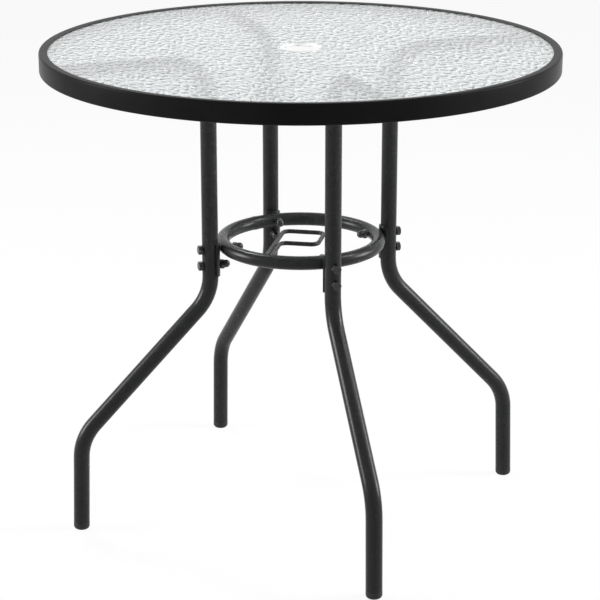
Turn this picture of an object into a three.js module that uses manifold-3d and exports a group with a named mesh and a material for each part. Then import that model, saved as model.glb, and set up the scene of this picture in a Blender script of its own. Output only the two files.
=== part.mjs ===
// A round umbrella table with a patterned glass top in a steel rim, on four bent tube legs that a ring of
// tube ties together at mid height. Millimetres, +Z up. The origin is on the floor, under the table's middle.

import * as THREE from 'three';
import { mergeVertices } from 'three/addons/utils/BufferGeometryUtils.js';
import Module from 'manifold-3d';

const wasm = await Module();
wasm.setup();
const { degToRad } = THREE.MathUtils;

// Overall sizes
const tableRadius = 400;
const tableHeight = 762;

// Clearances: between pieces that bear on each other, and how far a cutter passes the faces that it cuts
const seatGap = 0.3;
const overrun = 2;

// Rim band, rolled from sheet: a flat lip on top, a wall, and a short hem at the bottom
const rimSheet = 1.5;
const rimHeight = 31;
const lipWidth = 15.6;
const lipBend = 4;
const hemBend = 3;

// Glass top
const glassThickness = 5;
const glassSideGap = 3;
const glassEdge = 0.8;
const umbrellaHoleRadius = 31;

// Carrier ring inside the rim, an angle strip whose ledge the glass stands on, with clear pads between
const carrierSheet = 1.5;
const carrierLedge = 13.6;
const carrierBend = 2.5;
const padThickness = 1;
const padRadius = 4;
const padInset = 7.2;

// Leg tube: an arm under the glass, an upright, a slanted run and a foot
const legRadius = 12.7;
const legWall = 1.2;
const armGlassGap = 1.2;
const armEndGap = 1;
const shoulderBend = 60;
const kneeBend = 80;
const kneeHeight = 376;
const ankleRadius = 361;
const ankleHeight = 154;
const footRadius = 366;

// How far each leg's lower part is turned about its own upright, anticlockwise from above: the bent tubes
// don't all stand quite in line with their arms
const legTurns = { right: 0, back: degToRad(7), left: degToRad(-5), front: degToRad(-3) };

// Foot cap: a round-edged head with a plug that stands in the tube
const capHead = 12;
const capEdge = 6;
const capSole = 0.5;
const capPlug = 18;
const capTaper = 1;
const capClearance = 0.4;

// Support ring, a closed ring of tube that holds the uprights together above their knees
const ringRadius = 123;
const ringTubeRadius = 10.7;
const ringWall = 1.2;
const ringAboveKnee = 75;

// Saddle plate between the ring and a leg
const saddlePlate = 2.5;
const saddleHeight = 54;
const saddleDrop = 16;
const saddleCorner = 4;
const saddleWrap = degToRad(65);

// Bolts with hexagon heads, and dome nuts
const boltRadius = 4;
const boltSpacing = 26;
const boltAcrossFlats = 13;
const boltHead = 6.5;
const boltEngagement = 10;
const domeNutLength = 16;
const domeNutHex = 6.5;
const domeNutRadius = 6.1;
const domeNutBore = 11.5;

// Half-round spigot that an arm slides over, and the screw that holds it
const spigotWall = 2;
const spigotLength = 46;
const armScrewInset = 18;
const armScrewRadius = 3;
const armScrewAcrossFlats = 10;
const armScrewHead = 4;
const armScrewLength = 10;

// Umbrella guide: one rod, bent to a square loop with two tails that reach the ring
const guideRod = 3.5;
const guideSide = 66;
const guideBend = 12;
const guideTailGap = 0.5;
const guideRise = 4;
const guideTurn = degToRad(240);

// How finely round shapes are divided
const rimSides = 64;
const ringSides = 40;
const tubeSides = 14;
const rodSides = 8;
const holeSides = 10;
const bendSteps = 4;
const cornerSteps = 2;
const padCount = 8;

// Levels and radii that follow from the sizes above
const rimBottom = tableHeight - rimHeight;
const lipUnderside = tableHeight - rimSheet;
const lipInnerRadius = tableRadius - lipWidth;
const wallInnerRadius = tableRadius - rimSheet;
const glassTop = lipUnderside - seatGap;
const glassBottom = glassTop - glassThickness;
const glassRadius = wallInnerRadius - glassSideGap;
const padTop = glassBottom - seatGap;
const padBottom = padTop - padThickness;
const ledgeTop = padBottom - seatGap;
const carrierOuterRadius = wallInnerRadius - seatGap;
const carrierInnerRadius = carrierOuterRadius - carrierSheet;
const ledgeInnerRadius = carrierOuterRadius - carrierLedge;
const carrierBottom = rimBottom + hemBend + seatGap;
const armHeight = glassBottom - armGlassGap - legRadius;
const armEnd = ledgeInnerRadius - armEndGap;
const legBore = legRadius - legWall;
const ringHeight = kneeHeight + ringAboveKnee;
const legAxisRadius = ringRadius + ringTubeRadius + seatGap + saddlePlate + seatGap + legRadius;
const saddleInnerRadius = legRadius + seatGap;
const saddleOuterRadius = saddleInnerRadius + saddlePlate;
const upperBoltHeight = ringHeight;
const lowerBoltHeight = ringHeight - boltSpacing;
const boltHoleRadius = boltRadius + seatGap;
const armScrewPlace = armEnd - armScrewInset;
const armScrewHoleRadius = armScrewRadius + seatGap;

// The legs stand a quarter turn apart
const quarterTurns = ['right', 'back', 'left', 'front'].map((side, i) => ({ side, angle: i * Math.PI / 2 }));

// A flat of a faceted ring lies nearer to its centre than a corner does, by these shares
const rimFlatShare = Math.cos(Math.PI / rimSides);
const ringFlatShare = Math.cos(Math.PI / ringSides);

// From a hexagon's centre to a corner, as a share of its width across the flats
const hexagonCornerShare = 1 / Math.sqrt(3);

// Where the dome nuts bear: the upper ones on the ring's inner side, the lower ones on the saddles
const ringSeat = (ringRadius - ringTubeRadius) * ringFlatShare - seatGap;
const saddleSeat = legAxisRadius - saddleOuterRadius - seatGap;

// Paint, plastic and glass
function paint(colour, roughness, metalness) {
  return new THREE.MeshStandardMaterial({ color: colour, roughness, metalness });
}

const rimCoat = () => paint(0x18191b, 0.5, 0.3);
const frameCoat = () => paint(0x1f2022, 0.45, 0.3);
const blackHardware = () => paint(0x17181a, 0.35, 0.6);
const blackPlastic = () => paint(0x1a1a1b, 0.7, 0);
const clearPlastic = () => paint(0xe8ecec, 0.3, 0);

function patternedGlass() {
  const material = paint(0xe6eced, 0.2, 0);
  material.transparent = true;
  material.opacity = 0.45;
  return material;
}

// Solids for cutting and joining

function toSolid(geometry) {
  const bare = geometry.clone();
  bare.deleteAttribute('normal');
  bare.deleteAttribute('uv');
  const merged = mergeVertices(bare);
  return new wasm.Manifold(new wasm.Mesh({
    numProp: 3,
    vertProperties: new Float32Array(merged.attributes.position.array),
    triVerts: new Uint32Array(merged.index.array),
  }));
}

function toGeometry(solid) {
  const mesh = solid.getMesh();
  const geometry = new THREE.BufferGeometry();
  geometry.setAttribute('position', new THREE.BufferAttribute(mesh.vertProperties, 3));
  geometry.setIndex(new THREE.BufferAttribute(mesh.triVerts, 1));
  geometry.computeVertexNormals();
  return geometry;
}

function cut(geometry, cutters) {
  const solid = cutters.reduce((left, cutter) => left.subtract(toSolid(cutter)), toSolid(geometry));
  return toGeometry(solid);
}

// Basic forms

// A ring or a round body about the z axis. The outline has radii as x and heights as y, and runs clockwise
// round the material, with the radius to the right and the height upwards.
function turned(outline, sides, firstAngle = 0) {
  return new THREE.LatheGeometry([...outline].reverse(), sides, firstAngle).rotateX(Math.PI / 2);
}

// The points of a round corner about a centre, from one angle to another.
function arc(centreX, centreY, radius, fromAngle, toAngle, steps) {
  const points = [];
  for (let i = 0; i <= steps; i++) {
    const angle = fromAngle + (toAngle - fromAngle) * i / steps;
    points.push(new THREE.Vector2(centreX + radius * Math.cos(angle), centreY + radius * Math.sin(angle)));
  }
  return points;
}

function closed(outline) {
  return [...outline, outline[0].clone()];
}

function disc(radius, sides) {
  return arc(0, 0, radius, 0, 2 * Math.PI, sides).slice(0, -1);
}

// A round or six-sided bar along x, from one place to another.
function barAlongX(radius, from, to, sides) {
  const bar = new THREE.CylinderGeometry(radius, radius, to - from, sides);
  return bar.rotateZ(Math.PI / 2).translate((from + to) / 2, 0, 0);
}

// The same along z.
function barAlongZ(radius, from, to, sides) {
  const bar = new THREE.CylinderGeometry(radius, radius, to - from, sides);
  return bar.rotateX(Math.PI / 2).translate(0, 0, (from + to) / 2);
}

// A flat outline drawn across y and z, drawn out along x.
function drawnAlongX(shape, from, length) {
  const drawn = new THREE.ExtrudeGeometry(shape, { depth: length, bevelEnabled: false });
  return drawn.rotateX(Math.PI / 2).rotateZ(Math.PI / 2).translate(from, 0, 0);
}

// The centre line of a bent tube or rod: straight runs joined by round bends, with steps only in the bends.
class BentPath extends THREE.Curve {
  constructor(corners, bendRadii) {
    super();
    this.places = [corners[0]];
    this.headings = [corners[1].clone().sub(corners[0]).normalize()];
    bendRadii.forEach((radius, i) => this.bend(corners[i], corners[i + 1], corners[i + 2], radius));
    this.places.push(corners.at(-1));
    this.headings.push(this.headings.at(-1));
  }

  bend(before, corner, after, radius) {
    const incoming = corner.clone().sub(before).normalize();
    const outgoing = after.clone().sub(corner).normalize();
    const turn = incoming.angleTo(outgoing);
    const axis = incoming.clone().cross(outgoing).normalize();
    const start = corner.clone().addScaledVector(incoming, -radius * Math.tan(turn / 2));
    const centre = axis.clone().cross(incoming).multiplyScalar(radius).add(start);
    for (let i = 0; i <= bendSteps; i++) {
      const angle = turn * i / bendSteps;
      this.places.push(start.clone().sub(centre).applyAxisAngle(axis, angle).add(centre));
      this.headings.push(incoming.clone().applyAxisAngle(axis, angle));
    }
  }

  getPointAt(share) {
    return this.places[Math.round(share * this.steps)].clone();
  }

  getTangentAt(share) {
    return this.headings[Math.round(share * this.steps)].clone();
  }

  get steps() {
    return this.places.length - 1;
  }
}

function drawnAlongPath(shape, path) {
  return new THREE.ExtrudeGeometry(shape, { steps: path.steps, bevelEnabled: false, extrudePath: path });
}

// What belongs to a leg's lower part, a point or a geometry drawn over the x axis, turned about the upright.
const upright = new THREE.Vector3(legAxisRadius, 0, 0);
const upwards = new THREE.Vector3(0, 0, 1);

function turnedPoint(x, z, turn) {
  return new THREE.Vector3(x, 0, z).sub(upright).applyAxisAngle(upwards, turn).add(upright);
}

function turnedPiece(geometry, turn) {
  return geometry.translate(-legAxisRadius, 0, 0).rotateZ(turn).translate(legAxisRadius, 0, 0);
}

// Rim band
function makeRim() {
  const outline = [
    new THREE.Vector2(lipInnerRadius, lipUnderside),
    new THREE.Vector2(lipInnerRadius, tableHeight),
    ...arc(tableRadius - lipBend, tableHeight - lipBend, lipBend, Math.PI / 2, 0, cornerSteps),
    ...arc(tableRadius - hemBend, rimBottom + hemBend, hemBend, 0, -Math.PI / 2, cornerSteps),
    ...arc(tableRadius - hemBend, rimBottom + hemBend, hemBend - rimSheet, -Math.PI / 2, 0, cornerSteps),
    ...arc(tableRadius - lipBend, tableHeight - lipBend, lipBend - rimSheet, 0, Math.PI / 2, cornerSteps),
  ];
  return turned(closed(outline), rimSides);
}

// Glass top, with ground edges at its rim and round the umbrella hole
function makeGlass() {
  const outline = [
    new THREE.Vector2(umbrellaHoleRadius, glassBottom + glassEdge),
    new THREE.Vector2(umbrellaHoleRadius, glassTop - glassEdge),
    new THREE.Vector2(umbrellaHoleRadius + glassEdge, glassTop),
    new THREE.Vector2(glassRadius - glassEdge, glassTop),
    new THREE.Vector2(glassRadius, glassTop - glassEdge),
    new THREE.Vector2(glassRadius, glassBottom + glassEdge),
    new THREE.Vector2(glassRadius - glassEdge, glassBottom),
    new THREE.Vector2(umbrellaHoleRadius + glassEdge, glassBottom),
  ];
  return turned(closed(outline), rimSides);
}

// Carrier ring: its leg stands against the rim's wall, its ledge points inwards under the glass
function makeCarrier() {
  const innerBend = carrierBend - carrierSheet;
  const bendRadius = carrierOuterRadius - carrierBend;
  const bendHeight = ledgeTop - carrierBend;
  const outline = [
    new THREE.Vector2(ledgeInnerRadius, ledgeTop - carrierSheet),
    new THREE.Vector2(ledgeInnerRadius, ledgeTop),
    ...arc(bendRadius, bendHeight, carrierBend, Math.PI / 2, 0, cornerSteps),
    new THREE.Vector2(carrierOuterRadius, carrierBottom),
    new THREE.Vector2(carrierInnerRadius, carrierBottom),
    ...arc(bendRadius, bendHeight, innerBend, 0, Math.PI / 2, cornerSteps),
  ];
  return turned(closed(outline), rimSides);
}

function makePad() {
  return barAlongZ(padRadius, padBottom, padTop, holeSides).translate(carrierOuterRadius - padInset, 0, 0);
}

// Leg: one tube with its arm along x, and with holes for both bolts and for the arm's screw
function makeLeg(turn) {
  const ankle = turnedPoint(ankleRadius, ankleHeight, turn);
  const foot = turnedPoint(footRadius, 0, turn);
  const footRun = ankle.clone().sub(foot).normalize();
  const corners = [
    new THREE.Vector3(armEnd, 0, armHeight),
    new THREE.Vector3(legAxisRadius, 0, armHeight),
    new THREE.Vector3(legAxisRadius, 0, kneeHeight),
    ankle,
    foot.clone().addScaledVector(footRun, capHead),
  ];
  const path = new BentPath(corners, [shoulderBend, kneeBend, kneeBend]);
  const shape = new THREE.Shape(disc(legRadius, tubeSides));
  shape.holes.push(new THREE.Path(disc(legBore, tubeSides)));
  const boltHole = barAlongX(
    boltHoleRadius, legAxisRadius - legRadius - overrun, legAxisRadius + legRadius + overrun, holeSides);
  const screwHole = barAlongZ(armScrewHoleRadius, armHeight - legRadius - overrun, armHeight, holeSides);
  return cut(drawnAlongPath(shape, path), [
    boltHole.clone().translate(0, 0, upperBoltHeight),
    boltHole.clone().translate(0, 0, lowerBoltHeight),
    screwHole.translate(armScrewPlace, 0, 0),
  ]);
}

// Foot cap: turned about the leg's foot run, leaned with it, and cut flat where it stands on the floor
function makeFootCap(turn) {
  const plugRadius = legBore - capClearance;
  const plugBottom = capHead - seatGap;
  const outline = [
    new THREE.Vector2(0, capHead + capPlug),
    new THREE.Vector2(plugRadius - capTaper, capHead + capPlug),
    new THREE.Vector2(plugRadius, capHead + capPlug - capTaper),
    new THREE.Vector2(plugRadius, plugBottom),
    new THREE.Vector2(legRadius, plugBottom),
    ...arc(legRadius - capEdge, capEdge - capSole, capEdge, 0, -Math.PI / 2, bendSteps),
    new THREE.Vector2(0, -capSole),
  ];
  const lean = Math.atan2(footRadius - ankleRadius, ankleHeight);
  const cap = turned(outline, tubeSides).rotateY(-lean).translate(footRadius, 0, 0);
  const floor = barAlongZ(2 * legRadius, -capHead, 0, holeSides).translate(footRadius, 0, 0);
  return turnedPiece(cut(cap, [floor]), turn);
}

// Support ring: the outline of its tube, a hollow inside, and a hole right through it for each upper bolt
function ringBody(radius) {
  const outline = closed(disc(radius, tubeSides).reverse());
  outline.forEach((point) => point.x += ringRadius);
  return turned(outline, ringSides, Math.PI / ringSides).translate(0, 0, ringHeight);
}

function makeRing() {
  const hole = barAlongX(
    boltHoleRadius, ringRadius - ringTubeRadius - overrun, ringRadius + ringTubeRadius + overrun, holeSides);
  const holes = quarterTurns.map(({ angle }) => hole.clone().translate(0, 0, upperBoltHeight).rotateZ(angle));
  return cut(ringBody(ringTubeRadius), [ringBody(ringTubeRadius - ringWall), ...holes]);
}

// Saddle plate: part of a round shell that hugs the leg's inner side, with round corners and two holes
function makeSaddle() {
  const middle = ringHeight - saddleDrop;
  const outer = arc(
    legAxisRadius, 0, saddleOuterRadius, Math.PI - saddleWrap, Math.PI + saddleWrap, 2 * bendSteps);
  const inner = arc(
    legAxisRadius, 0, saddleInnerRadius, Math.PI + saddleWrap, Math.PI - saddleWrap, 2 * bendSteps);
  const shell = new THREE.ExtrudeGeometry(new THREE.Shape([...outer, ...inner]),
    { depth: saddleHeight, bevelEnabled: false }).translate(0, 0, middle - saddleHeight / 2);
  const halfWidth = saddleOuterRadius * Math.sin(saddleWrap);
  const cornerY = halfWidth - saddleCorner;
  const cornerZ = saddleHeight / 2 - saddleCorner;
  const face = new THREE.Shape([
    ...arc(cornerY, cornerZ, saddleCorner, 0, Math.PI / 2, cornerSteps),
    ...arc(-cornerY, cornerZ, saddleCorner, Math.PI / 2, Math.PI, cornerSteps),
    ...arc(-cornerY, -cornerZ, saddleCorner, Math.PI, 1.5 * Math.PI, cornerSteps),
    ...arc(cornerY, -cornerZ, saddleCorner, 1.5 * Math.PI, 2 * Math.PI, cornerSteps),
  ]);
  const cutterStart = legAxisRadius - saddleOuterRadius - overrun;
  const blank = drawnAlongX(face, cutterStart, saddleOuterRadius + overrun).translate(0, 0, middle);
  const plate = toGeometry(toSolid(shell).intersect(toSolid(blank)));
  const hole = barAlongX(boltHoleRadius, cutterStart, legAxisRadius, holeSides);
  return cut(plate, [
    hole.clone().translate(0, 0, upperBoltHeight),
    hole.clone().translate(0, 0, lowerBoltHeight),
  ]);
}

// A bolt along x: its head outside the leg, its shank reaching inwards into the nut
function makeBolt(nutSeat) {
  const headInner = legAxisRadius + legRadius + seatGap;
  const headRadius = boltAcrossFlats * hexagonCornerShare;
  const head = toSolid(barAlongX(headRadius, headInner, headInner + boltHead, 6));
  const shank = toSolid(barAlongX(boltRadius, nutSeat - boltEngagement, headInner + boltHead / 2, holeSides));
  return toGeometry(head.add(shank));
}

// A dome nut on the bolt's inner end: a six-sided foot, a round dome, and a blind bore from the foot
function makeDomeNut(nutSeat) {
  const nutRadius = boltAcrossFlats * hexagonCornerShare;
  const hexagon = toSolid(barAlongX(nutRadius, nutSeat - domeNutHex, nutSeat, 6));
  const outline = [
    ...arc(0, domeNutLength - domeNutRadius, domeNutRadius, Math.PI / 2, 0, bendSteps),
    new THREE.Vector2(domeNutRadius, domeNutHex / 2),
    new THREE.Vector2(0, domeNutHex / 2),
  ];
  const dome = toSolid(turned(outline, holeSides).rotateY(-Math.PI / 2).translate(nutSeat, 0, 0));
  const bore = barAlongX(boltHoleRadius, nutSeat - domeNutBore, nutSeat + overrun, holeSides);
  return cut(toGeometry(hexagon.add(dome)), [bore]);
}

// Spigot: the lower half of a pipe, from the carrier ring's leg inwards into the arm, with the screw's hole
function makeSpigot() {
  const outerRadius = legBore - capClearance;
  const outer = arc(0, 0, outerRadius, Math.PI, 2 * Math.PI, 2 * bendSteps);
  const inner = arc(0, 0, outerRadius - spigotWall, 2 * Math.PI, Math.PI, 2 * bendSteps);
  const outerEnd = Math.sqrt((carrierInnerRadius * rimFlatShare) ** 2 - outerRadius ** 2) - seatGap;
  const pipe = drawnAlongX(new THREE.Shape([...outer, ...inner]), outerEnd - spigotLength, spigotLength);
  const hole = barAlongZ(armScrewHoleRadius, -legRadius - overrun, 0, holeSides);
  return cut(pipe, [hole.translate(armScrewPlace, 0, 0)]).translate(0, 0, armHeight);
}

function makeArmScrew() {
  const headTop = armHeight - legRadius - seatGap;
  const headRadius = armScrewAcrossFlats * hexagonCornerShare;
  const head = toSolid(barAlongZ(headRadius, headTop - armScrewHead, headTop, 6));
  const tip = headTop + armScrewLength;
  const shank = toSolid(barAlongZ(armScrewRadius, headTop - armScrewHead / 2, tip, holeSides));
  return toGeometry(head.add(shank)).translate(armScrewPlace, 0, 0);
}

// Umbrella guide: drawn with its tails along x, turned to its place, and cut to fit the ring's inner side
function makeGuide() {
  const half = guideSide / 2;
  const tailPitch = 2 * guideRod + guideTailGap;
  const corners = [
    new THREE.Vector3(ringRadius, -half, 0),
    new THREE.Vector3(-half, -half, 0),
    new THREE.Vector3(-half, half, 0),
    new THREE.Vector3(half, half, 0),
    new THREE.Vector3(half, tailPitch - half, 0),
    new THREE.Vector3(ringRadius, tailPitch - half, 0),
  ];
  const path = new BentPath(corners, [guideBend, guideBend, guideBend, guideBend]);
  const rod = drawnAlongPath(new THREE.Shape(disc(guideRod, rodSides)), path);
  rod.rotateZ(guideTurn).translate(0, 0, ringHeight + guideRise);
  return cut(rod, [ringBody(ringTubeRadius + seatGap)]);
}

// The whole table
const table = new THREE.Group();

function place(group, name, geometry, material) {
  const mesh = new THREE.Mesh(geometry, material);
  mesh.name = name;
  group.add(mesh);
}

place(table, 'table_rim', makeRim(), rimCoat());
place(table, 'glass_top', makeGlass(), patternedGlass());
place(table, 'carrier_ring', makeCarrier(), rimCoat());
place(table, 'support_ring', makeRing(), frameCoat());
place(table, 'umbrella_guide', makeGuide(), frameCoat());

for (let i = 0; i < padCount; i++) {
  const group = new THREE.Group();
  group.rotation.z = (i + 0.5) * 2 * Math.PI / padCount;
  place(group, `glass_pad_${i + 1}`, makePad(), clearPlastic());
  table.add(group);
}

quarterTurns.forEach(({ side, angle }) => {
  const group = new THREE.Group();
  group.rotation.z = angle;
  place(group, `leg_${side}`, makeLeg(legTurns[side]), frameCoat());
  place(group, `foot_cap_${side}`, makeFootCap(legTurns[side]), blackPlastic());
  place(group, `ring_saddle_${side}`, makeSaddle(), frameCoat());
  place(group, `rim_spigot_${side}`, makeSpigot(), rimCoat());
  place(group, `arm_screw_${side}`, makeArmScrew(), blackHardware());
  const upperBolt = makeBolt(ringSeat).translate(0, 0, upperBoltHeight);
  const lowerBolt = makeBolt(saddleSeat).translate(0, 0, lowerBoltHeight);
  const upperNut = makeDomeNut(ringSeat).translate(0, 0, upperBoltHeight);
  const lowerNut = makeDomeNut(saddleSeat).translate(0, 0, lowerBoltHeight);
  place(group, `upper_bolt_${side}`, upperBolt, blackHardware());
  place(group, `lower_bolt_${side}`, lowerBolt, blackHardware());
  place(group, `upper_nut_${side}`, upperNut, blackHardware());
  place(group, `lower_nut_${side}`, lowerNut, blackHardware());
  table.add(group);
});

export default table;
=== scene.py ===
# %% [markdown]
# # A round umbrella table
# A black steel rim holds a round of patterned glass. Four bent tube legs carry it, a tube ring ties
# them together half way up, and a square wire loop in that ring guides the pole of an umbrella.
# The imported model gives every solid its place. It is loaded first.

# %% Load the imported table
import math

import bmesh
import bpy
from mathutils import Matrix, Vector


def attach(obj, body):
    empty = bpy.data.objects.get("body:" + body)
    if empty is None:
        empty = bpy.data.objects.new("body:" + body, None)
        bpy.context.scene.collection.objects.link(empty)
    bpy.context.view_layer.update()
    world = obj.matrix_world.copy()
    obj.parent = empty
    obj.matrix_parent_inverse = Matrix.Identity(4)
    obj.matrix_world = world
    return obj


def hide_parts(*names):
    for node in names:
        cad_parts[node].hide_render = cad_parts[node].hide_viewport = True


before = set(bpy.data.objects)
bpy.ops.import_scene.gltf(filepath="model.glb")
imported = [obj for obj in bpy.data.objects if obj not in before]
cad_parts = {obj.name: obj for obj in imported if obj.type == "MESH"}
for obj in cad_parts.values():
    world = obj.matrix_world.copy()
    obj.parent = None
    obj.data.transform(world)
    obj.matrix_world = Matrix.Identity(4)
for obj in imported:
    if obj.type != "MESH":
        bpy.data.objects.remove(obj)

scene = bpy.context.scene
MM = 0.001
UP = Vector((0, 0, 1))
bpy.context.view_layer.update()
print("solids in the packed table:", len(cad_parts))

# %% [markdown]
# ## Camera
# A picture of a table looks right only from the distance it was taken at. A long lens of 122 mm stands
# a good three metres away, a little left of the table and above it, and looks down on the glass.

# %% Camera
CAMERA_PLACE = (-1.01486, -2.91727, 1.37163)
CAMERA_TURN = (1.25171, 0.0, -0.33449)
bpy.ops.object.camera_add(location=CAMERA_PLACE, rotation=CAMERA_TURN)
camera = bpy.context.object
camera.data.lens = 122.07
camera.data.sensor_width = 36.0
scene.camera = camera
scene.view_settings.view_transform = "Standard"
print("camera distance to the table's axis:", round(math.hypot(*CAMERA_PLACE[:2]), 2), "m")

# %% [markdown]
# ## Working by hand, in code
# Every piece starts as a primitive at its own size and place, and is then shaped in edit mode. These
# helpers do what a hand on the mouse does: deselect, enter edit mode, pick faces by where they are,
# and apply a modifier.

# %% Select and shape


def deselect():
    """Leaves edit mode and selects nothing."""
    if bpy.context.object and bpy.context.object.mode == "EDIT":
        bpy.ops.object.mode_set(mode="OBJECT")
    bpy.ops.object.select_all(action="DESELECT")


def shape(piece):
    """Enters edit mode on one piece with nothing in it selected."""
    deselect()
    piece.select_set(True)
    bpy.context.view_layer.objects.active = piece
    bpy.ops.object.mode_set(mode="EDIT")
    bpy.ops.mesh.select_all(action="DESELECT")


def pick(kind, test):
    """Selects the vertices, edges or faces of the piece in edit mode whose middle passes the test."""
    bpy.ops.mesh.select_mode(type=kind)
    bpy.ops.mesh.select_all(action="DESELECT")
    mesh = bpy.context.edit_object.data
    drawn = bmesh.from_edit_mesh(mesh)
    for part in {"VERT": drawn.verts, "EDGE": drawn.edges, "FACE": drawn.faces}[kind]:
        points = [part.co] if kind == "VERT" else [corner.co for corner in part.verts]
        if test(sum(points, Vector()) / len(points), part):
            part.select_set(True)
    drawn.select_flush_mode()
    bmesh.update_edit_mesh(mesh)


def close_up():
    """Merges doubles, turns every face outwards and leaves edit mode."""
    bpy.ops.mesh.select_all(action="SELECT")
    bpy.ops.mesh.remove_doubles(threshold=0.001 * MM)
    bpy.ops.mesh.normals_make_consistent(inside=False)
    bpy.ops.object.mode_set(mode="OBJECT")


# %% Name, finish and fit a piece
CLOSE = 0.05 * MM


def modify(piece, kind, **settings):
    """Adds one modifier with these settings and applies it."""
    deselect()
    piece.select_set(True)
    bpy.context.view_layer.objects.active = piece
    change = piece.modifiers.new("change", kind)
    for name, value in settings.items():
        setattr(change, name, value)
    bpy.ops.object.modifier_apply(modifier=change.name)


def start(name):
    """Names the new primitive and puts its place into its mesh."""
    piece = bpy.context.object
    bpy.ops.object.transform_apply(location=True, rotation=True, scale=True)
    piece.name = piece.data.name = name
    return piece


def smooth(piece, angle=35):
    """Shades a piece smooth, apart from edges sharper than the angle in degrees."""
    deselect()
    piece.select_set(True)
    bpy.context.view_layer.objects.active = piece
    bpy.ops.object.shade_smooth_by_angle(angle=math.radians(angle))


def fit(piece, slot, finishes, *nodes):
    """Gives a piece its finish and lets it stand for the solids it was drawn over."""
    for finish in finishes:
        piece.data.materials.append(finish)
    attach(piece, "root")
    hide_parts(*nodes)
    print(piece.name, "faces:", len(piece.data.polygons), "lowest:",
          round(min(vertex.co.z for vertex in piece.data.vertices) / MM, 2), "mm")


def near(value, wanted, slack=CLOSE):
    """True if a length is the wanted one, within a little slack."""
    return abs(value - wanted) < slack


# %% [markdown]
# ## Floor, world and lamps
# The table stands on a plain pale floor that fills the whole picture. For the camera, and for what
# shines or can be seen through, most of the floor is plain white, while light that falls on the table
# meets an ordinary pale floor. The rest of its colour still takes the table's shadow.

# %% Floor
FLOOR_SIZE = 60.0
FLOOR_PALE = (0.85, 0.85, 0.85, 1.0)
WHITE_SHARE = 0.93


def seen_share(tree, amount):
    """A socket that is `amount` for rays that see the picture: camera, glossy and transmitted ones."""
    path = tree.nodes.new("ShaderNodeLightPath")
    seen = path.outputs["Is Camera Ray"]
    for other in ("Is Glossy Ray", "Is Transmission Ray"):
        either = tree.nodes.new("ShaderNodeMath")
        either.operation = "MAXIMUM"
        tree.links.new(seen, either.inputs[0])
        tree.links.new(path.outputs[other], either.inputs[1])
        seen = either.outputs[0]
    scaled = tree.nodes.new("ShaderNodeMath")
    scaled.operation = "MULTIPLY"
    scaled.inputs[1].default_value = amount
    tree.links.new(seen, scaled.inputs[0])
    return scaled.outputs[0]


bpy.ops.mesh.primitive_plane_add(size=FLOOR_SIZE)
floor = start("floor")
floor_paint = bpy.data.materials.new("pale floor")
floor_paint.use_nodes = True
tree = floor_paint.node_tree
tree.nodes.remove(tree.nodes["Principled BSDF"])
paint = tree.nodes.new("ShaderNodeBsdfDiffuse")
paint.inputs["Color"].default_value = FLOOR_PALE
white = tree.nodes.new("ShaderNodeEmission")
white.inputs["Strength"].default_value = 1.0
blend = tree.nodes.new("ShaderNodeMixShader")
tree.links.new(seen_share(tree, WHITE_SHARE), blend.inputs["Fac"])
tree.links.new(paint.outputs[0], blend.inputs[1])
tree.links.new(white.outputs[0], blend.inputs[2])
tree.links.new(blend.outputs[0], tree.nodes["Material Output"].inputs["Surface"])
floor.data.materials.append(floor_paint)
print("floor:", FLOOR_SIZE, "m across")

# %% World
SKY_GREY = (0.1, 0.1, 0.1, 1.0)
world = bpy.data.worlds.new("studio")
scene.world = world
world.use_nodes = True
tree = world.node_tree
room = tree.nodes["Background"]
room.inputs["Color"].default_value = SKY_GREY
room.inputs["Strength"].default_value = 1.0
backdrop = tree.nodes.new("ShaderNodeBackground")
backdrop.inputs["Color"].default_value = (1.0, 1.0, 1.0, 1.0)
blend = tree.nodes.new("ShaderNodeMixShader")
tree.links.new(seen_share(tree, 1.0), blend.inputs["Fac"])
tree.links.new(room.outputs[0], blend.inputs[1])
tree.links.new(backdrop.outputs[0], blend.inputs[2])
tree.links.new(blend.outputs[0], tree.nodes["World Output"].inputs["Surface"])
print("light from all round:", SKY_GREY[:3])

# %% Lamps
LAMP_AIM = Vector((0, 0, 0.6))
LAMPS = {
    # name: (place, width, height, watts)
    "key_from_the_right": ((2.13, -0.61, 2.80), 0.5, 0.5, 46.0),
    "back_light": ((-0.64, 1.98, 2.93), 0.6, 0.6, 42.0),
    "left_side_softbox": ((-2.85, 0.85, 1.25), 1.2, 1.2, 80.0),
    "right_side_softbox": ((2.85, -0.85, 1.25), 1.2, 1.2, 75.0),
}
for name, (place, width, height, watts) in LAMPS.items():
    bpy.ops.object.light_add(type="AREA", location=place)
    lamp = bpy.context.object
    lamp.name = name
    lamp.data.shape = "RECTANGLE"
    lamp.data.size, lamp.data.size_y = width, height
    lamp.data.energy = watts
    aim = LAMP_AIM - Vector(place)
    lamp.rotation_euler = aim.to_track_quat("-Z", "Y").to_euler()
print("lamps:", ", ".join(LAMPS))

# %% [markdown]
# ## Finishes
# Powder coat is plastic dust baked onto steel: black, with the fine orange peel of a melted film.
# It could be painted as an image, but noises need no file and fit every piece. Each finish reads
# Object coordinates in metres, so that a scale of 800 gives grains of about a millimetre everywhere.

# %% Nodes for a finish
NOISE_LOW, NOISE_HIGH = 0.3, 0.7


def new_finish(name):
    """A material with its main shader and the coordinates that its patterns read."""
    finish = bpy.data.materials.new(name)
    finish.use_nodes = True
    nodes, links = finish.node_tree.nodes, finish.node_tree.links
    coords = nodes.new("ShaderNodeTexCoord")
    return finish, nodes, links, nodes["Principled BSDF"], coords


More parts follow.
